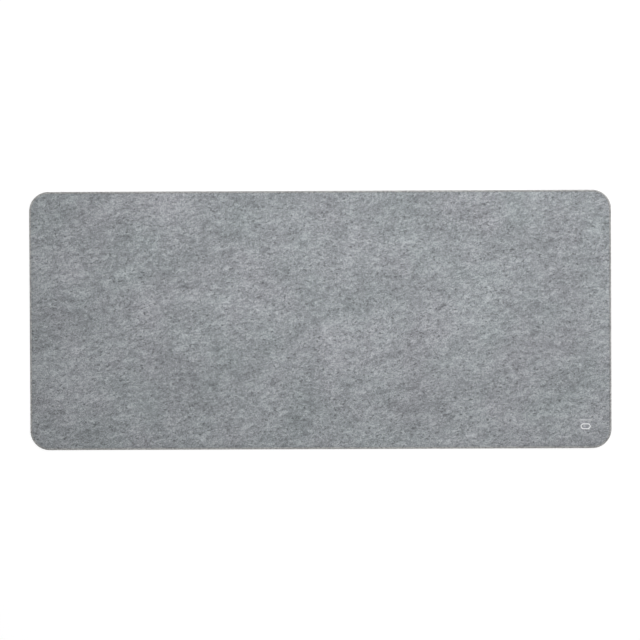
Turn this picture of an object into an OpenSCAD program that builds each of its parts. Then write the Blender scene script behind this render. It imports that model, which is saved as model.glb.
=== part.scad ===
// Desk mat: a felt face laminated to a non-slip rubber base, with an overlocked edge.
// +X runs along the mat, +Y away from the user and +Z up.
// The origin is the middle of the underside, on the desk.

/* [Mat] */
// Length of the mat, left to right
mat_length = 900; // [600:10:1200]
// Depth of the mat, front to back
mat_depth = 400; // [250:10:600]
// Radius of the four corners
corner_radius = 30; // [10:1:60]

/* [Layers] */
// Thickness of the felt face
felt_thickness = 2.4; // [2:0.1:5]
// Thickness of the hot-melt film between the layers
film_thickness = 0.1; // [0.05:0.05:0.3]
// Thickness of the rubber base
rubber_thickness = 1.5; // [1.2:0.1:3]

/* [Sewn edge] */
// Width of the overlocked band
band_width = 3; // [2:0.1:5]
// Diameter of the sewing thread
thread_d = 0.4; // [0.2:0.05:0.6]
// Share of its diameter that the thread keeps where the layers grip it
gripped_share = 0.75; // [0.5:0.05:0.9]
// Spacing of the stitches along the edge
stitch_pitch = 2.1; // [1.5:0.1:4]
// Number of stitches from one modelled thread leg to the next
stitches_per_leg = 20; // [10:1:60]

/* [Emblem] */
// Distance of the emblem's centre from the right edge
emblem_from_right = 40.5; // [30:0.5:80]
// Distance of the emblem's centre from the front edge
emblem_from_front = 37; // [30:0.5:80]
// Length of the bar
bar_length = 19; // [8:0.5:40]
// Width of the bar
bar_width = 0.7; // [0.5:0.1:3]
// Length of the long ring
ring_length = 15.5; // [11:0.5:40]
// Width of the long ring
ring_width = 9; // [8:0.5:10]
// Width of the ring's line
ring_line = 1.5; // [1:0.1:3]
// Gap between the bar and the ring
emblem_gap = 5; // [1:0.1:6]
// Thickness of the heat-pressed film
emblem_film = 0.15; // [0.05:0.05:0.3]

/* [Hidden] */
$fn = 64;

// Heights of the layers
film_z = rubber_thickness;
felt_z = film_z + film_thickness;
top_z = felt_z + felt_thickness;
rim_z = top_z / 2;

// The layers end where the thread on the rim begins, and are pressed in under the band
rim_inset = thread_d;
pressed_top_z = top_z - thread_d;
pressed_base_z = thread_d;

// The needle thread lies along the band's inner side, half its width to each side of its line
needle_inner = band_width;
needle_outer = band_width - thread_d;
needle_line = band_width - thread_d / 2;

// The needle line's path: two pairs of straight runs and four quarter turns
line_radius = corner_radius - needle_line;
run_x = mat_length - 2 * corner_radius;
run_y = mat_depth - 2 * corner_radius;
quarter_turn = PI * line_radius / 2;
half_path = run_x + run_y + 2 * quarter_turn;
path_length = 2 * half_path;
leg_count = round(path_length / (stitch_pitch * stitches_per_leg));
leg_d = thread_d * gripped_share;

// The emblem: the bar above the long ring, centred together
emblem_x = mat_length / 2 - emblem_from_right;
emblem_y = -mat_depth / 2 + emblem_from_front;
emblem_height = bar_width + emblem_gap + ring_width;
bar_y = emblem_y + emblem_height / 2 - bar_width / 2;
ring_y = emblem_y - emblem_height / 2 + ring_width / 2;
emblem_z = top_z - emblem_film;

// How far a cut runs past the surface that it opens
cut_margin = 1;

// A point on the needle line, s along it from the start of the back straight run.
// The second half of the path is the first half turned half a turn about the centre.
function line_point(s) = s < half_path ? half_point(s) : -half_point(s - half_path);

// The first half: along the back edge, round a corner, down the right edge, round a corner
function half_point(s) =
    s < run_x ? [s - run_x / 2, mat_depth / 2 - needle_line] :
    s < run_x + quarter_turn ? corner_point(90 - turn_angle(s - run_x), run_y / 2) :
    s < run_x + quarter_turn + run_y ?
        [mat_length / 2 - needle_line, run_y / 2 - (s - run_x - quarter_turn)] :
    corner_point(-turn_angle(s - run_x - quarter_turn - run_y), -run_y / 2);

// The angle turned after going a distance along a corner
function turn_angle(s) = 90 * s / quarter_turn;

// A point on the needle line's arc about a right-hand corner's centre
function corner_point(angle, centre_y) =
    [run_x / 2 + line_radius * cos(angle), centre_y + line_radius * sin(angle)];

// A plate with the mat's outline, set in all round, between two heights
module plate(inset, low_z, high_z) {
    height = high_z - low_z;
    translate([0, 0, low_z]) {
        translate([-run_x / 2, inset - mat_depth / 2, 0])
            cube([run_x, mat_depth - 2 * inset, height]);
        translate([inset - mat_length / 2, -run_y / 2, 0])
            cube([mat_length - 2 * inset, run_y, height]);
        for (side_x = [-1, 1])
            for (side_y = [-1, 1])
                translate([side_x * run_x / 2, side_y * run_y / 2, 0])
                    cylinder(r = corner_radius - inset, h = height);
    }
}

// A band that follows the mat's outline, between two insets and two heights
module band(outer_inset, inner_inset, low_z, high_z) {
    difference() {
        plate(outer_inset, low_z, high_z);
        plate(inner_inset, low_z - cut_margin, high_z + cut_margin);
    }
}

// The needle thread's vertical legs, or the holes that they fill
module thread_legs(low_z, high_z) {
    for (i = [0 : leg_count - 1])
        translate(concat(line_point((i + 0.5) * path_length / leg_count), low_z))
            cylinder(d = leg_d, h = high_z - low_z);
}

// A flat bar with round ends, centred on the emblem's upright line at a depth of centre_y
module round_bar(length, width, centre_y, low_z, high_z) {
    half_run = (length - width) / 2;
    translate([emblem_x, centre_y, low_z]) {
        translate([-half_run, -width / 2, 0])
            cube([2 * half_run, width, high_z - low_z]);
        for (side = [-1, 1])
            translate([side * half_run, 0, 0])
                cylinder(d = width, h = high_z - low_z);
    }
}

// The emblem's bar, or its recess
module bar_film(low_z, high_z) {
    round_bar(bar_length, bar_width, bar_y, low_z, high_z);
}

// The emblem's long ring, or its recess: a line of even width round a bar's outline
module ring_film(low_z, high_z) {
    hole_length = ring_length - 2 * ring_line;
    hole_width = ring_width - 2 * ring_line;
    difference() {
        round_bar(ring_length, ring_width, ring_y, low_z, high_z);
        round_bar(hole_length, hole_width, ring_y, low_z - cut_margin, high_z + cut_margin);
    }
}

// The felt is full height inside the sewn band and pressed down under it
module felt_top() {
    color([0.58, 0.6, 0.62])
        difference() {
            union() {
                plate(rim_inset, felt_z, pressed_top_z);
                plate(needle_inner, felt_z, top_z);
            }
            thread_legs(felt_z - cut_margin, top_z);
            bar_film(emblem_z, top_z + cut_margin);
            ring_film(emblem_z, top_z + cut_margin);
        }
}

module adhesive_film() {
    color([0.85, 0.85, 0.8])
        difference() {
            plate(rim_inset, film_z, felt_z);
            thread_legs(film_z - cut_margin, felt_z + cut_margin);
        }
}

// The rubber stands on the desk inside the sewn band and is pressed up over it
module rubber_base() {
    color([0.1, 0.1, 0.11])
        difference() {
            union() {
                plate(rim_inset, pressed_base_z, film_z);
                plate(needle_inner, 0, film_z);
            }
            thread_legs(0, film_z + cut_margin);
        }
}

// A line of thread on the top, one underneath, and the legs that join them through the mat
module needle_thread() {
    color([0.45, 0.45, 0.45])
        union() {
            band(needle_outer, needle_inner, pressed_top_z, top_z);
            band(needle_outer, needle_inner, 0, pressed_base_z);
            thread_legs(pressed_base_z, pressed_top_z);
        }
}

// Over the top of the edge and halfway down the rim
module upper_looper_thread() {
    color([0.5, 0.5, 0.49])
        union() {
            band(0, needle_outer, pressed_top_z, top_z);
            band(0, rim_inset, rim_z, pressed_top_z);
        }
}

// Under the edge and halfway up the rim
module lower_looper_thread() {
    color([0.4, 0.4, 0.4])
        union() {
            band(0, needle_outer, 0, pressed_base_z);
            band(0, rim_inset, pressed_base_z, rim_z);
        }
}

module emblem_bar() {
    color([0.88, 0.89, 0.9])
        bar_film(emblem_z, top_z);
}

module emblem_ring() {
    color([0.88, 0.89, 0.9])
        ring_film(emblem_z, top_z);
}

felt_top();
adhesive_film();
rubber_base();
needle_thread();
upper_looper_thread();
lower_looper_thread();
emblem_bar();
emblem_ring();
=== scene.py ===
"""The looks of the desk mat: its felt face, sewn edge, rubber base and emblem, around the CAD frame."""

import math

import bpy
import numpy as np
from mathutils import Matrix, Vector, noise


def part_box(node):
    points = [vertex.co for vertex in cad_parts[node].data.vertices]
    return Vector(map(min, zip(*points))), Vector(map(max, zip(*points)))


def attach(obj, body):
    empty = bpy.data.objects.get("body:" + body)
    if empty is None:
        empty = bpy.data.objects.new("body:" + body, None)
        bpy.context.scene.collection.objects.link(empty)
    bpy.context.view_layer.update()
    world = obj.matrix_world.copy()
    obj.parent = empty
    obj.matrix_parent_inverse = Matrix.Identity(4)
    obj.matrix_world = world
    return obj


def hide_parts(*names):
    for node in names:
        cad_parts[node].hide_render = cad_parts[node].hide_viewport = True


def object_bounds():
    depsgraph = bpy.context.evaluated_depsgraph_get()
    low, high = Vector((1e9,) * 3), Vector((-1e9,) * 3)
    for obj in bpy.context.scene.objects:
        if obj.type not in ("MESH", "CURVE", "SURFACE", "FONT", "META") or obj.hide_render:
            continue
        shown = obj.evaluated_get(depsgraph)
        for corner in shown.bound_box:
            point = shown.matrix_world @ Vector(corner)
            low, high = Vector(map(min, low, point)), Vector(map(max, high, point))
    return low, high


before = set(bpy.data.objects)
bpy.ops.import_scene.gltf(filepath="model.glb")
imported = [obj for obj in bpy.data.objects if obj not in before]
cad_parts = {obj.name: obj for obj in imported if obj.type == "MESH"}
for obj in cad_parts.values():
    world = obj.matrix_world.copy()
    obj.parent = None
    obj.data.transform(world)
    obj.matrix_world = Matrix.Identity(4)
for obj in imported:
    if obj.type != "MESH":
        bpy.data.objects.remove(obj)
cad_low, cad_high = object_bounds()

MM = 0.001


# ---------------------------------------------------------------- sizes from the frame

felt_low, felt_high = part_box("felt_top")
_, base_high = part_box("rubber_base")
_, needle_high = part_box("needle_thread")
bar_low, bar_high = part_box("emblem_bar")
ring_low, ring_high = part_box("emblem_ring")


def straight_half_run(node, side):
    """Half the length of the straight run along the right (side 0) or back (side 1) of a node."""
    points = np.array([v.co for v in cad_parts[node].data.vertices])
    on_side = points[:, side] > points[:, side].max() - 0.01 * MM
    return points[on_side, 1 - side].max()


MAT_TOP = cad_high.z
MAT_MIDDLE = MAT_TOP / 2
THREAD = cad_high.x - felt_high.x  # the layers end one thread's thickness inside the rim
NEEDLE_INSET = cad_high.x - needle_high.x + THREAD / 2  # of the middle of the needle thread
HALF_RUN_X = straight_half_run("upper_looper_thread", 1)
HALF_RUN_Y = straight_half_run("upper_looper_thread", 0)
CORNER_RADIUS = cad_high.x - HALF_RUN_X

# Stitches along each straight run and round each corner
STITCH_PITCH = 2.1 * MM
STITCHES_X = round(2 * HALF_RUN_X / STITCH_PITCH)
STITCHES_Y = round(2 * HALF_RUN_Y / STITCH_PITCH)
STITCHES_CORNER = round(math.pi / 2 * (CORNER_RADIUS - NEEDLE_INSET) / STITCH_PITCH)
STITCHES = 2 * (STITCHES_X + STITCHES_Y) + 4 * STITCHES_CORNER


# ---------------------------------------------------------------- the mat's outline and edge

INNER_CORNERS = np.array([(-1, 1), (1, 1), (1, -1), (-1, -1)]) * (HALF_RUN_X, HALF_RUN_Y)
STRETCH_STITCHES = np.tile([STITCHES_X, STITCHES_CORNER, STITCHES_Y, STITCHES_CORNER], 2)
STRETCH_START = np.concatenate([[0], np.cumsum(STRETCH_STITCHES)[:-1]])


def outline(turn, inset):
    """Points at an inset from the mat's outline.

    turn counts stitches clockwise from the left end of the back run. The eight stretches, a run and
    a corner in turn, share one rule: a centre that moves along the inner rectangle or waits at its
    corner, and a direction that stays or makes a quarter turn."""
    turn = np.mod(turn, STITCHES)
    stretch = np.searchsorted(STRETCH_START, turn, side="right") - 1
    share = (turn - STRETCH_START[stretch]) / STRETCH_STITCHES[stretch]
    side, is_corner = stretch // 2, stretch % 2
    start = INNER_CORNERS[(side + is_corner) % 4]
    end = INNER_CORNERS[(side + 1) % 4]
    centre = start + (end - start) * share[:, None]
    angle = math.pi / 2 * (1 - side - is_corner * share)
    outward = np.stack([np.cos(angle), np.sin(angle)], 1)
    return centre + outward * (CORNER_RADIUS - inset)[:, None]


# The sewn edge is rounded like a flat tube. This exponent is 1 for an ellipse and nears 0 for a box.
EDGE_SQUARENESS = 0.78


def edge_section(angle, depth):
    """(inset, height) on the rounded edge, at a depth under the middle of its thread.

    The angle is 90 degrees at the needle line on top, 0 on the rim and -90 underneath."""
    reach = NEEDLE_INSET - THREAD / 2 - depth
    rise = MAT_MIDDLE - THREAD / 2 - depth
    along, up = np.cos(angle), np.sin(angle)
    inset = NEEDLE_INSET - reach * np.abs(along) ** EDGE_SQUARENESS
    height = MAT_MIDDLE + rise * np.sign(up) * np.abs(up) ** EDGE_SQUARENESS
    return inset, height


def section_angle(height, depth):
    """The angle at which the rounded edge, at that depth, reaches a height."""
    share = (height - MAT_MIDDLE) / (MAT_MIDDLE - THREAD / 2 - depth)
    return math.asin(math.copysign(abs(share) ** (1 / EDGE_SQUARENESS), share))


# ---------------------------------------------------------------- meshes

def new_piece(name, points, faces):
    """A smooth-shaded mesh object, with its place in its mesh."""
    mesh = bpy.data.meshes.new(name)
    mesh.from_pydata(np.asarray(points).tolist(), [], faces)
    mesh.update()
    mesh.polygons.foreach_set("use_smooth", [True] * len(mesh.polygons))
    piece = bpy.data.objects.new(name, mesh)
    bpy.context.scene.collection.objects.link(piece)
    return piece


def ring_faces(outer, outer_count, inner, inner_count):
    """Faces from a ring to the next, which has as many vertices or a third as many."""
    faces = []
    if outer_count == inner_count:
        for i in range(outer_count):
            j = (i + 1) % outer_count
            faces.append((outer + i, outer + j, inner + j, inner + i))
        return faces
    for i in range(inner_count):
        a, b, c, d = (outer + (3 * i + k) % outer_count for k in range(4))
        here, following = inner + i, inner + (i + 1) % inner_count
        faces += [(a, b, here), (b, c, following, here), (c, d, following)]
    return faces


def grid_edge(columns, rows):
    """The grid's vertices round the inner rectangle, one for each stitch of the outline.

    The grid has a line at each stitch of a straight run. A corner's stitches share one vertex."""
    def run(points):
        return [j * (columns + 1) + i for i, j in points]

    def corner(i, j):
        return run([(i, j)]) * STITCHES_CORNER

    back = run((i, rows) for i in range(columns))
    right = run((columns, rows - j) for j in range(rows))
    front = run((columns - i, 0) for i in range(columns))
    left = run((0, j) for j in range(rows))
    return (
        back + corner(columns, rows) + right + corner(columns, 0)
        + front + corner(0, 0) + left + corner(0, rows)
    )


def sheet_mesh(name, rings, middle_height, shape):
    """A closed sheet with the mat's outline, detailed on one face.

    rings are (inset, height, vertices per stitch), from the hidden face round the rim to the
    detailed face, whose height is middle_height inside the last ring. shape takes the vertices,
    their insets and their turns, and returns the moved vertices."""
    counts = [STITCHES * per_stitch for _, _, per_stitch in rings]
    turn = np.concatenate([np.arange(STITCHES * k) / k for _, _, k in rings])
    inset = np.concatenate([np.full(n, ring[0]) for n, ring in zip(counts, rings)])
    height = np.concatenate([np.full(n, ring[1]) for n, ring in zip(counts, rings)])
    rim_places = outline(turn, inset)

    x_lines = np.linspace(-HALF_RUN_X, HALF_RUN_X, STITCHES_X + 1)
    y_lines = np.linspace(-HALF_RUN_Y, HALF_RUN_Y, STITCHES_Y + 1)
    grid_x, grid_y = (line.ravel() for line in np.meshgrid(x_lines, y_lines))
    grid_count = len(grid_x)
    points = np.column_stack([
        np.concatenate([rim_places[:, 0], grid_x]),
        np.concatenate([rim_places[:, 1], grid_y]),
        np.concatenate([height, np.full(grid_count, middle_height)]),
    ])
    inset = np.concatenate([inset, np.full(grid_count, CORNER_RADIUS)])
    turn = np.concatenate([turn, np.zeros(grid_count)])
    points = shape(points, inset, turn)

    starts = np.concatenate([[0], np.cumsum(counts)]).tolist()
    faces = [tuple(range(counts[0] - 1, -1, -1))]
    for k in range(len(rings) - 1):
        faces += ring_faces(starts[k], counts[k], starts[k + 1], counts[k + 1])
    last, grid = starts[-2], starts[-1]
    edge = grid_edge(STITCHES_X, STITCHES_Y)
    for i in range(STITCHES):
        j = (i + 1) % STITCHES
        quad = (last + i, last + j, grid + edge[j], grid + edge[i])
        faces.append(quad if edge[i] != edge[j] else quad[:3])
    across = STITCHES_X + 1
    for row in range(STITCHES_Y):
        for column in range(STITCHES_X):
            a = grid + row * across + column
            faces.append((a, a + across, a + across + 1, a + 1))
    piece = new_piece(name, points, faces)
    if middle_height > rings[0][1]:
        piece.data.flip_normals()
    return piece


def smooth_step(x, low, high):
    """0 below low, 1 above high, and a smooth rise between."""
    share = np.clip((x - low) / (high - low), 0, 1)
    return share * share * (3 - 2 * share)


def lumps(points, size, seed):
    """Smooth noise from about -1 to 1 at each point, with lumps of about that size."""
    offset = Vector((7.31, 3.77, 5.13)) * seed
    return np.array([noise.noise(Vector(p) / size + offset) for p in points.tolist()])


# ---------------------------------------------------------------- felt face

FELT_DEPTH = 0.25 * MM  # how far the felt lies under the middle of the thread
FELT_EDGE_ANGLES = np.radians([25, 52, 90])
# The swell behind the stitches: (inset, depth below the face) of each ring
FELT_SWELL_FINE = [(3.4 * MM, 0.56 * MM), (4.5 * MM, 0.22 * MM)]
FELT_SWELL_COARSE = [(5.8 * MM, 0.05 * MM)]
FELT_FACE_INSETS = np.arange(7.8, 29, 2.5) * MM
FELT_ROUGHNESS = 0.09 * MM
FELT_LUMPS = [(3.3 * MM, 1), (7 * MM, 0.8), (40 * MM, 1.2)]  # (size, weight) of the uneven surface
STITCH_DIP = 0.16 * MM
STITCH_DIP_REACH = 1.2 * MM
EMBLEM_CLEAR = 12.5 * MM  # the felt is pressed smooth this far round the emblem's middle


def felt_rings():
    """The felt's rings: round the pressed edge, over the swell behind the stitches, to the face."""
    lowest = section_angle(felt_low.z, FELT_DEPTH)
    edge = [edge_section(angle, FELT_DEPTH) for angle in (lowest, *FELT_EDGE_ANGLES)]
    edge[0] = (edge[0][0], felt_low.z)
    edge += [(inset, MAT_TOP - depth) for inset, depth in FELT_SWELL_FINE]
    face = [(inset, MAT_TOP - depth) for inset, depth in FELT_SWELL_COARSE]
    face += [(inset, MAT_TOP) for inset in FELT_FACE_INSETS]
    return [(*place, 3) for place in edge] + [(*place, 1) for place in face]


def felt_shape(points, inset, turn):
    """Gives the felt its uneven, needled surface and its dip at each stitch."""
    emblem = np.array([(ring_low.x + ring_high.x) / 2, (ring_low.y + bar_high.y) / 2])
    from_emblem = np.linalg.norm(points[:, :2] - emblem, axis=1)
    free = smooth_step(from_emblem, EMBLEM_CLEAR, 2 * EMBLEM_CLEAR)
    free = free * smooth_step(inset, NEEDLE_INSET, 2 * NEEDLE_INSET)
    uneven = sum(
        weight * lumps(points, size, seed) for seed, (size, weight) in enumerate(FELT_LUMPS, 1)
    )
    beside_needle = np.exp(-(((inset - NEEDLE_INSET) / STITCH_DIP_REACH) ** 2))
    at_hole = 0.5 + 0.5 * np.cos(2 * math.pi * turn)
    points[:, 2] += FELT_ROUGHNESS * uneven * free
    points[:, 2] -= STITCH_DIP * beside_needle * at_hole * (inset > NEEDLE_INSET - THREAD)
    return points


def make_felt():
    felt = sheet_mesh("felt_face", felt_rings(), MAT_TOP, felt_shape)
    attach(felt, "root")
    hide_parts("felt_top")
    return felt


# ---------------------------------------------------------------- rubber base

RUBBER_DEPTH = 0.25 * MM  # how far the rubber lies under the middle of the thread
RUBBER_EDGE_ANGLES = np.radians([-25, -52, -90])
RUBBER_SWELL_INSET = 4.1 * MM
RUBBER_FACE_RINGS = 11
STUD_HEIGHT = 0.45 * MM
STUD_PITCH = 4 * STITCH_PITCH  # along a row. The rows between lie half a pitch over
STUD_MARGIN = 2 * MM  # from the needle line to the first studs


def rubber_rings():
    """The base's rings: from the glued face round the pressed edge to the underside."""
    highest = section_angle(base_high.z, RUBBER_DEPTH)
    edge = [edge_section(angle, RUBBER_DEPTH) for angle in (highest, *RUBBER_EDGE_ANGLES)]
    edge[0] = (edge[0][0], base_high.z)
    edge.append((RUBBER_SWELL_INSET, STUD_HEIGHT))
    face = [CORNER_RADIUS - k * STITCH_PITCH for k in range(RUBBER_FACE_RINGS, 0, -1)]
    return [(*place, 3) for place in edge] + [(inset, STUD_HEIGHT, 1) for inset in face]


def stud_share(x, y):
    """1 on top of a stud of the tread, 0 between the studs."""
    along, across = ((2 * math.pi / STUD_PITCH) * (v + HALF_RUN_X) for v in (x, y))
    return np.clip(np.cos(along) * np.cos(across), 0, 1)


def rubber_shape(points, inset, turn):
    """Raises the studs of the tread from the underside, as far as the sewn edge."""
    studs = stud_share(points[:, 0], points[:, 1]) * (inset > NEEDLE_INSET + STUD_MARGIN)
    points[:, 2] -= STUD_HEIGHT * studs
    return points


def make_rubber():
    rubber = sheet_mesh("rubber_tread", rubber_rings(), STUD_HEIGHT, rubber_shape)
    # A paleness share: 1 on top of the studs, and 0 in the valleys between them and over the sewn edge.
    # The material darkens everything below the stud tops with it, a painted shade in the valleys.
    height = np.array([v.co.z for v in rubber.data.vertices])
    paleness = rubber.data.attributes.new("paleness", "FLOAT", "POINT")
    paleness.data.foreach_set("value", np.clip(1 - height / STUD_HEIGHT, 0, 1))
    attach(rubber, "root")
    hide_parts("rubber_base")
    return rubber


# ---------------------------------------------------------------- sewn edge

LOOPER_SAMPLES = 14  # points along one stitch of a looper thread
LOOPER_SIDES = 5
LOOPER_WIDTH = 1.14 * MM  # the fluffy thread spreads flat over the edge
LOOPER_DEPTH = 0.08 * MM  # how far it is drawn in
LOOP_UPRIGHTNESS = 0.9  # 0 gives a wave, 1 gives loops with parallel legs
RIM_OVERLAP = 0.1  # how far a loop passes the rim's middle, as a share of its reach
CROSSING_LIFT = 0.45  # how far a loop's legs lie over and under the other loops, in threads
CROSSING_REACH = 0.35  # from the rim, as a share of the loop's reach
# How much the loops differ from each other
TURN_SCATTER = 0.035  # in stitches
REACH_SCATTER = 0.025
WIDTH_SCATTER = 0.06

NEEDLE_SIDES = 5
NEEDLE_WIDTH = 1.1  # the thread is a little flattened, in threads
NEEDLE_THICKNESS = 0.9
NEEDLE_SCATTER = 0.05 * MM
# One stitch of the needle thread: up out of a hole, along the top and down into the next.
# Each row is (stitches along, share of the mat's height).
NEEDLE_STITCH = np.array([
    (0.00, 0.05), (0.08, 0.09), (0.10, 0.25), (0.10, 0.75), (0.13, 0.90), (0.24, 0.945),
    (0.50, 0.955), (0.76, 0.945), (0.87, 0.90), (0.90, 0.75), (0.90, 0.25), (0.92, 0.09),
])


def thread_mesh(name, turn, inset, height, lift, width, thickness, sides):
    """A closed thread of flat oval section through points round the edge.

    lift moves each point out from the mat's middle line. Each vertex keeps how far along the thread
    it is and where round it, for the twist in the material."""
    line = np.column_stack([outline(turn, inset), height])
    core = outline(turn, np.full(len(turn), NEEDLE_INSET + THREAD))
    out = line - np.column_stack([core, np.full(len(turn), MAT_MIDDLE)])
    out /= np.linalg.norm(out, axis=1)[:, None]
    line = line + out * lift[:, None]
    tangent = np.roll(line, -1, 0) - np.roll(line, 1, 0)
    tangent /= np.linalg.norm(tangent, axis=1)[:, None]
    across = np.cross(tangent, out)
    across /= np.linalg.norm(across, axis=1)[:, None]
    out = np.cross(across, tangent)

    around = np.arange(sides) / sides * 2 * math.pi
    section_across = across[:, None, :] * np.cos(around)[None, :, None] * width[:, None, None] / 2
    section_out = out[:, None, :] * np.sin(around)[None, :, None] * thickness[:, None, None] / 2
    points = (line[:, None, :] + section_across + section_out).reshape(-1, 3)

    count = len(turn)
    faces = []
    for i in range(count):
        a, b = i * sides, (i + 1) % count * sides
        for k in range(sides):
            m = (k + 1) % sides
            faces.append((a + k, b + k, b + m, a + m))
    piece = new_piece(name, points, faces)

    step = np.linalg.norm(np.roll(line, -1, 0) - line, axis=1)
    along = np.concatenate([[0], np.cumsum(step)[:-1]])
    attributes = piece.data.attributes
    attributes.new("along", "FLOAT", "POINT").data.foreach_set("value", np.repeat(along, sides))
    angle = np.tile(around, count)
    round_it = np.column_stack([np.cos(angle), np.sin(angle), np.zeros(len(angle))])
    attributes.new("around", "FLOAT_VECTOR", "POINT").data.foreach_set("vector", round_it.ravel())
    return piece


def looper_thread(name, side, seed):
    """A looper's thread: loops from the rim to the needle line and back, over (1) or under (-1)."""
    chance = np.random.default_rng(seed)
    angle = np.linspace(0, math.pi / 2, 400)
    inset_table, height_table = edge_section(angle, LOOPER_DEPTH)
    travelled = np.hypot(np.diff(inset_table), np.diff(height_table))
    length_table = np.concatenate([[0], np.cumsum(travelled)])
    length_table /= length_table[-1]

    stitch = np.repeat(np.arange(STITCHES), LOOPER_SAMPLES)
    phase = np.tile(np.arange(LOOPER_SAMPLES) / LOOPER_SAMPLES, STITCHES)
    turn = stitch + phase + LOOP_UPRIGHTNESS * np.sin(4 * math.pi * phase) / (4 * math.pi)
    turn += chance.normal(0, TURN_SCATTER, STITCHES)[stitch] * (1 - np.cos(2 * math.pi * phase)) / 2
    pull = 1 + chance.normal(0, REACH_SCATTER, STITCHES)[stitch]
    reach = (1 - np.cos(2 * math.pi * phase)) / 2 * (1 + RIM_OVERLAP) * pull - RIM_OVERLAP

    inset = np.interp(np.abs(reach), length_table, inset_table)
    rise = (np.interp(np.abs(reach), length_table, height_table) - MAT_MIDDLE) * np.sign(reach)
    near_rim = 1 - smooth_step(reach, 0, CROSSING_REACH)
    lift = CROSSING_LIFT * THREAD * side * np.sin(2 * math.pi * phase) * near_rim
    swell = 1 + chance.normal(0, WIDTH_SCATTER, STITCHES)[stitch]
    return thread_mesh(
        name, turn, inset, MAT_MIDDLE + side * rise, lift,
        LOOPER_WIDTH * swell, THREAD / swell.max() * swell, LOOPER_SIDES,
    )


def needle_thread():
    """The needle's thread: a row of straight stitches that pass down through the mat."""
    chance = np.random.default_rng(5)
    per_stitch = len(NEEDLE_STITCH)
    stitch = np.repeat(np.arange(STITCHES), per_stitch)
    turn = stitch + np.tile(NEEDLE_STITCH[:, 0], STITCHES)
    height = np.tile(NEEDLE_STITCH[:, 1], STITCHES) * MAT_TOP
    inset = NEEDLE_INSET + chance.normal(0, NEEDLE_SCATTER, STITCHES)[stitch]
    same = np.full(len(turn), THREAD)
    return thread_mesh(
        "needle_stitches", turn, inset, height, 0 * same,
        NEEDLE_WIDTH * same, NEEDLE_THICKNESS * same, NEEDLE_SIDES,
    )


def make_threads():
    upper = looper_thread("upper_looper_stitches", 1, 11)
    lower = looper_thread("lower_looper_stitches", -1, 12)
    needle = needle_thread()
    for piece, node in (
        (upper, "upper_looper_thread"), (lower, "lower_looper_thread"), (needle, "needle_thread"),
    ):
        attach(piece, "root")
        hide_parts(node)
    return upper, lower, needle


# ---------------------------------------------------------------- emblem

RING_LINE = 1.5 * MM  # width of the ring's line
FILM_PROUD = 0.03 * MM  # how far the film stands above the felt
FILM_EDGE = 0.12  # the film's rounded edge, as a share of its half width
FILM_STEPS = 72


def film_mesh(name, low, high, line):
    """A pressed film: a line of that width round a bar's outline, or a solid bar of that width.

    Each loop of vertices follows the middle of the line at an offset. A ring's loops run from its
    outer edge over the top to its inner edge and close underneath, and a bar's run to its middle."""
    middle = (low + high) / 2
    half_line = line / 2
    half_run = (high.x - low.x - (high.y - low.y)) / 2
    radius = (high.y - low.y) / 2 - half_line
    is_ring = radius > half_line
    top, bottom = high.z + FILM_PROUD, low.z
    flat = half_line * (1 - FILM_EDGE)
    profile = [(half_line, bottom), (half_line, (top + bottom) / 2)]
    if is_ring:
        profile += [(flat * share, top) for share in np.linspace(1, -1, 7)]
        profile += [(-half_line, (top + bottom) / 2), (-half_line, bottom)]
    else:
        profile += [(flat * share, top) for share in (1, 0.6, 0.2)]

    angle = (np.arange(FILM_STEPS) + 0.5) / FILM_STEPS * 2 * math.pi
    direction = np.column_stack([np.cos(angle), np.sin(angle)])
    ends = np.column_stack([np.sign(direction[:, 0]) * half_run, np.zeros(FILM_STEPS)])
    points = []
    for offset, height in profile:
        for x, y in ends + direction * (radius * is_ring + offset):
            points.append((middle.x + x, middle.y + y, height))
    faces = []
    spans = len(profile) if is_ring else len(profile) - 1
    for k in range(spans):
        loop, following = k * FILM_STEPS, (k + 1) % len(profile) * FILM_STEPS
        faces += ring_faces(loop, FILM_STEPS, following, FILM_STEPS)
    if not is_ring:
        last = len(points) - FILM_STEPS
        faces.append(tuple(range(FILM_STEPS - 1, -1, -1)))
        faces.append(tuple(range(last, len(points))))
    return new_piece(name, points, faces)


def make_emblem():
    bar = film_mesh("emblem_bar_film", bar_low, bar_high, bar_high.y - bar_low.y)
    ring = film_mesh("emblem_ring_film", ring_low, ring_high, RING_LINE)
    for piece, node in ((bar, "emblem_bar"), (ring, "emblem_ring")):
        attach(piece, "root")
        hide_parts(node)
    return bar, ring


# ---------------------------------------------------------------- materials

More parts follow.
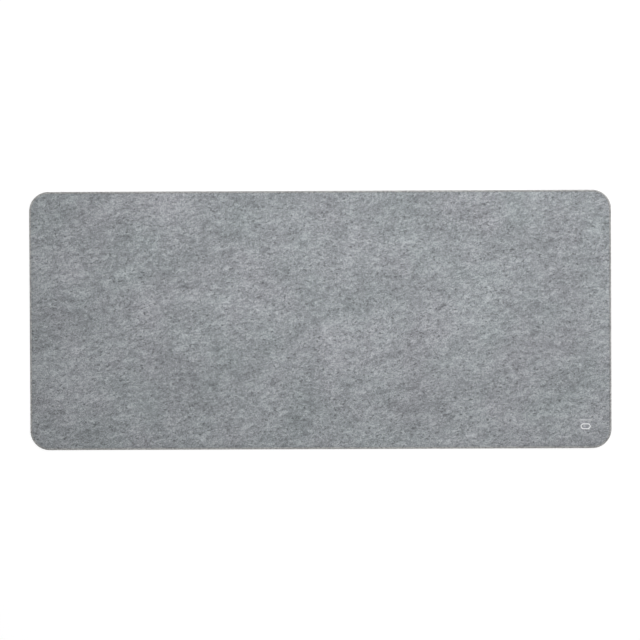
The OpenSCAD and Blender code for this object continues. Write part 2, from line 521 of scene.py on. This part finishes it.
class Shader:
    """A material's node tree, with short calls for the nodes that the materials here share."""

    def __init__(self, name):
        self.material = bpy.data.materials.new(name)
        self.material.use_nodes = True
        self.tree = self.material.node_tree
        self.surface = self.tree.nodes["Principled BSDF"]
        self.place = self.add("ShaderNodeTexCoord").outputs["Object"]

    def add(self, kind, **settings):
        node = self.tree.nodes.new(kind)
        for name, value in settings.items():
            setattr(node, name, value)
        return node

    def feed(self, socket, value):
        """Links an output to a socket, or sets the socket's own value."""
        if isinstance(value, bpy.types.NodeSocket):
            self.tree.links.new(value, socket)
        else:
            socket.default_value = value

    def set(self, **values):
        """Sets or links the surface's own sockets, with _ for a space in their names."""
        for name, value in values.items():
            self.feed(self.surface.inputs[name.replace("_", " ")], value)

    def math(self, operation, a, b=0.0, clamp=False):
        node = self.add("ShaderNodeMath", operation=operation, use_clamp=clamp)
        self.feed(node.inputs[0], a)
        self.feed(node.inputs[1], b)
        return node.outputs[0]

    def stretch(self, degrees, factor, vector=None):
        """Coordinates in which a texture is drawn out along a direction in the mat's plane."""
        turned = self.add("ShaderNodeMapping", vector_type="TEXTURE")
        self.feed(turned.inputs["Vector"], vector or self.place)
        turned.inputs["Rotation"].default_value = (0, 0, math.radians(degrees))
        turned.inputs["Scale"].default_value = (factor, 1, 1)
        return turned.outputs["Vector"]

    def noise(self, size, detail=2.0, roughness=0.5, distortion=0.0, vector=None):
        """Noise with features of about that size, in metres."""
        node = self.add("ShaderNodeTexNoise")
        self.feed(node.inputs["Vector"], vector or self.place)
        node.inputs["Scale"].default_value = 1 / size
        node.inputs["Detail"].default_value = detail
        node.inputs["Roughness"].default_value = roughness
        node.inputs["Distortion"].default_value = distortion
        return node.outputs["Fac"]

    def warp(self, vector, size, amount):
        """Coordinates pushed about by smooth noise of that size, so that straight lines curve."""
        drift = self.add("ShaderNodeTexNoise")
        self.feed(drift.inputs["Vector"], vector)
        drift.inputs["Scale"].default_value = 1 / size
        drift.inputs["Detail"].default_value = 0
        push = self.add("ShaderNodeVectorMath", operation="MULTIPLY_ADD")
        self.feed(push.inputs[0], drift.outputs["Color"])
        push.inputs[1].default_value = (amount, amount, 0)
        self.feed(push.inputs[2], vector)
        return push.outputs[0]

    def centred(self, value, amount):
        """A 0 to 1 value as a difference from its middle, times an amount."""
        return self.math("MULTIPLY", self.math("SUBTRACT", value, 0.5), amount)

    def total(self, *values):
        result = values[0]
        for value in values[1:]:
            result = self.math("ADD", result, value)
        return result

    def ramp(self, value, *stops):
        node = self.add("ShaderNodeValToRGB")
        self.feed(node.inputs["Fac"], value)
        elements = node.color_ramp.elements
        while len(elements) < len(stops):
            elements.new(0.5)
        for element, (position, colour) in zip(elements, stops):
            element.position = position
            element.color = (*colour, 1)
        return node.outputs["Color"]

    def multiply(self, a, b):
        node = self.add("ShaderNodeMix", data_type="RGBA", blend_type="MULTIPLY")
        node.inputs["Factor"].default_value = 1
        self.feed(node.inputs[6], a)
        self.feed(node.inputs[7], b)
        return node.outputs[2]

    def bump(self, height, distance, strength=1.0):
        node = self.add("ShaderNodeBump")
        node.inputs["Strength"].default_value = strength
        node.inputs["Distance"].default_value = distance
        self.feed(node.inputs["Height"], height)
        self.feed(self.surface.inputs["Normal"], node.outputs["Normal"])


FELT_GRAIN = 12  # degrees from the mat's length, the way that the fibres were carded
FIBRE_ANGLES = (9, 52, 97, 148)


def felt_material():
    """Grey felt of mixed light and dark fibres, in soft clumps drawn out along the sheet."""
    shader = Shader("melange_felt")
    waved = shader.warp(shader.warp(shader.place, 10 * MM, 5 * MM), 2.2 * MM, 1.5 * MM)
    fibres = shader.total(*(
        shader.centred(shader.noise(0.24 * MM, 1.0, 0.5, 0.0, shader.stretch(angle, 14, waved)), 0.75)
        for angle in FIBRE_ANGLES
    ))
    drawn = shader.stretch(FELT_GRAIN, 1.8)
    lump = shader.noise(2.4 * MM, 1.0, 0.5, vector=shader.stretch(FELT_GRAIN, 1.2))
    clump = shader.noise(5.5 * MM, 2.0, 0.6, 0.7, vector=drawn)
    grain = shader.noise(1.3 * MM, 1.0, 0.5)
    patch = shader.noise(17 * MM, 2.0, 0.55, vector=drawn)
    cloud = shader.noise(90 * MM, 2.0, 0.5, vector=drawn)
    speck = shader.noise(3.0 * MM, 1.0, 0.6, vector=shader.stretch(FELT_GRAIN, 1.5))
    dark_speck = shader.math("MULTIPLY", shader.math("SUBTRACT", speck, 0.6, clamp=True), -3.2)
    tone = shader.total(
        0.5, fibres, shader.centred(grain, 0.75), shader.centred(lump, 0.45),
        shader.centred(clump, 0.86), shader.centred(patch, 0.36), shader.centred(cloud, 0.38),
        dark_speck,
    )
    grey = shader.ramp(
        tone, (0.0, (0.12, 0.126, 0.132)), (0.5, (0.275, 0.291, 0.305)), (1.0, (0.57, 0.59, 0.61))
    )
    tint = shader.noise(110 * MM, 3.0, 0.6)
    tinted = shader.ramp(tint, (0.35, (0.975, 1.005, 0.998)), (0.65, (1.01, 0.992, 1.008)))
    relief = shader.total(fibres, shader.centred(lump, 1.4), shader.centred(clump, 0.8))
    shader.bump(relief, 0.25 * MM, 0.6)
    shader.set(
        Base_Color=shader.multiply(grey, tinted),
        Roughness=shader.math("ADD", 0.86, shader.centred(lump, 0.15)),
        Specular_IOR_Level=0.25,
        Sheen_Weight=0.18,
        Sheen_Roughness=0.6,
    )
    return shader.material


def thread_material(name, light, dark, twist_pitch, fuzz):
    """Twisted sewing thread: slanted plies with painted shade in the grooves between them, and fuzz
    from loose filaments.
    """
    shader = Shader(name)
    along = shader.add("ShaderNodeAttribute", attribute_name="along").outputs["Fac"]
    around = shader.add("ShaderNodeAttribute", attribute_name="around").outputs["Vector"]
    split = shader.add("ShaderNodeSeparateXYZ")
    shader.feed(split.inputs[0], around)
    turns = shader.math("MULTIPLY", along, 2 * math.pi / twist_pitch)
    sine = shader.math("MULTIPLY", shader.math("SINE", turns), split.outputs["X"])
    cosine = shader.math("MULTIPLY", shader.math("COSINE", turns), split.outputs["Y"])
    ply = shader.math("ADD", shader.math("MULTIPLY", shader.math("ADD", sine, cosine), 0.5), 0.5)
    filament = shader.noise(0.12 * MM, 2.0, 0.6)
    wander = shader.noise(3.2 * MM, 3.0, 0.65)
    height = shader.total(ply, shader.centred(filament, fuzz))
    # The colour follows the ply height, a painted shade in the grooves between the plies, plus a random
    # wander in the thread's own tone.
    tone = shader.total(height, shader.centred(wander, 4.2))
    shader.bump(height, 0.08 * MM)
    shader.set(
        Base_Color=shader.ramp(tone, (0.0, dark), (0.9, light)),
        Roughness=shader.math("SUBTRACT", 0.78, shader.math("MULTIPLY", ply, 0.12)),
        Specular_IOR_Level=0.35,
        Sheen_Weight=0.15,
    )
    return shader.material


def rubber_material():
    """Charcoal natural rubber, smoother on top of the studs where it rubs, with painted shade that
    darkens the valleys between the studs.
    """
    shader = Shader("tread_rubber")
    paleness = shader.add("ShaderNodeAttribute", attribute_name="paleness").outputs["Fac"]
    pimple = shader.noise(0.6 * MM, 1.0, 0.5)
    dust = shader.noise(30 * MM, 4.0, 0.6)
    # The paleness lifts the tone on the stud tops, so the valleys between them keep a painted shade.
    # The dust varies the rubber's own tone at random.
    tone = shader.total(0.25, shader.centred(dust, 0.8), shader.math("MULTIPLY", paleness, 0.5))
    shader.bump(pimple, 0.12 * MM, 0.6)
    shader.set(
        Base_Color=shader.ramp(tone, (0.0, (0.012, 0.012, 0.013)), (1.0, (0.075, 0.075, 0.077))),
        Roughness=shader.math("SUBTRACT", 0.85, shader.math("MULTIPLY", tone, 0.35)),
        Specular_IOR_Level=0.45,
    )
    return shader.material


def hot_melt_material():
    """Milky hot-melt film, thicker and clearer along its web."""
    shader = Shader("hot_melt_web")
    web = shader.noise(5 * MM, 3.0, 0.6, 1.2)
    shader.bump(web, 0.05 * MM)
    shader.set(
        Base_Color=shader.ramp(web, (0.35, (0.8, 0.78, 0.7)), (0.65, (0.62, 0.6, 0.52))),
        Roughness=shader.math("ADD", 0.4, shader.centred(web, 0.4)),
    )
    return shader.material


def emblem_material():
    """Pale heat-pressed film that takes on the felt's grain, rubbed thin in small spots."""
    shader = Shader("pressed_film")
    grain = shader.noise(0.5 * MM, 3.0, 0.6)
    paleness = shader.noise(1.6 * MM, 3.0, 0.65)
    colour = shader.ramp(paleness, (0.3, (0.74, 0.75, 0.77)), (0.5, (0.88, 0.89, 0.9)))
    shader.bump(grain, 0.06 * MM, 0.8)
    shader.set(
        Base_Color=colour,
        Roughness=shader.math("ADD", 0.5, shader.centred(grain, 0.25)),
        Specular_IOR_Level=0.4,
    )
    return shader.material


def floor_material():
    """Plain pale studio paper, bright enough to stay white to the corners."""
    shader = Shader("studio_paper")
    grain = shader.noise(2 * MM, 2.0, 0.5)
    shader.set(
        Base_Color=shader.ramp(grain, (0.3, (0.21, 0.21, 0.21)), (0.7, (0.23, 0.23, 0.23))),
        Roughness=0.9,
        Specular_IOR_Level=0.1,
        Emission_Color=(1, 1, 1, 1),
        Emission_Strength=0.865,
    )
    return shader.material


def dress(material, *pieces):
    for piece in pieces:
        piece.data.materials.clear()
        piece.data.materials.append(material)


# ---------------------------------------------------------------- stage, light and camera

VIEW_WIDTH = 989.5 * MM  # the width of the view at the mat's face
CAMERA_LENS = 85
CAMERA_SENSOR = 36
CAMERA_LEAN = (math.radians(0.17), math.radians(0.55))  # off the vertical, to the right and back
VIEW_TURN = math.radians(-0.235)  # the mat lies turned this much in the view, the other way
VIEW_CENTRE = Vector((-0.5 * MM, 0.1 * MM, MAT_TOP))
FLOOR_HALF = 40.0
# The sky: (height above the horizon, brightness). It meets the floor without a line
SKY_HORIZON = (0.17, 0.972)
SKY_ABOVE = (0.4, 0.325)


def make_floor():
    corners = [(x * FLOOR_HALF, y * FLOOR_HALF, 0) for x, y in ((-1, -1), (1, -1), (1, 1), (-1, 1))]
    floor = new_piece("floor", corners, [(0, 1, 2, 3)])
    dress(floor_material(), floor)


def area_light(name, place, target, size, power):
    light = bpy.data.lights.new(name, "AREA")
    light.shape = "DISK"
    light.size = size
    light.energy = power
    lamp = bpy.data.objects.new(name, light)
    lamp.location = place
    lamp.rotation_euler = (Vector(target) - Vector(place)).to_track_quat("-Z", "Y").to_euler()
    bpy.context.scene.collection.objects.link(lamp)


def make_light():
    area_light("overhead", place=(-0.08, 0.16, 0.7), target=(-0.08, 0.16, 0), size=0.7, power=2.4)
    area_light("side", place=(1.2, 0.9, 1.0), target=(0.2, 0.1, 0), size=0.9, power=17.5)
    world = bpy.data.worlds.new("studio")
    world.use_nodes = True
    nodes, links = world.node_tree.nodes, world.node_tree.links
    direction = nodes.new("ShaderNodeTexCoord")
    split = nodes.new("ShaderNodeSeparateXYZ")
    sky = nodes.new("ShaderNodeValToRGB")
    for element, (height, brightness) in zip(sky.color_ramp.elements, (SKY_HORIZON, SKY_ABOVE)):
        element.position = height
        element.color = (brightness, brightness, brightness, 1)
    links.new(direction.outputs["Generated"], split.inputs[0])
    links.new(split.outputs["Z"], sky.inputs["Fac"])
    links.new(sky.outputs["Color"], nodes["Background"].inputs["Color"])
    bpy.context.scene.world = world
    bpy.context.scene.view_settings.view_transform = "Standard"


def make_camera():
    data = bpy.data.cameras.new("camera")
    data.lens = CAMERA_LENS
    data.sensor_width = CAMERA_SENSOR
    camera = bpy.data.objects.new("camera", data)
    distance = VIEW_WIDTH * CAMERA_LENS / CAMERA_SENSOR
    lean_right, lean_back = CAMERA_LEAN
    camera.location = VIEW_CENTRE + distance * Vector((math.sin(lean_right), math.sin(lean_back), 1))
    camera.rotation_euler = (-lean_back, lean_right, VIEW_TURN)
    bpy.context.scene.collection.objects.link(camera)
    bpy.context.scene.camera = camera


# ---------------------------------------------------------------- the scene

make_camera()
make_light()
make_floor()

felt = make_felt()
rubber = make_rubber()
upper, lower, needle = make_threads()
bar, ring = make_emblem()

dress(felt_material(), felt)
dress(rubber_material(), rubber)
dress(hot_melt_material(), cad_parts["adhesive_film"])
fluffy_thread = thread_material(
    "looper_thread", light=(0.55, 0.55, 0.542), dark=(0.21, 0.21, 0.207), twist_pitch=0.9 * MM, fuzz=0.8
)
firm_thread = thread_material(
    "needle_thread", light=(0.5, 0.5, 0.492), dark=(0.19, 0.19, 0.187), twist_pitch=0.6 * MM, fuzz=0.3
)
dress(fluffy_thread, upper, lower)
dress(firm_thread, needle)
dress(emblem_material(), bar, ring)
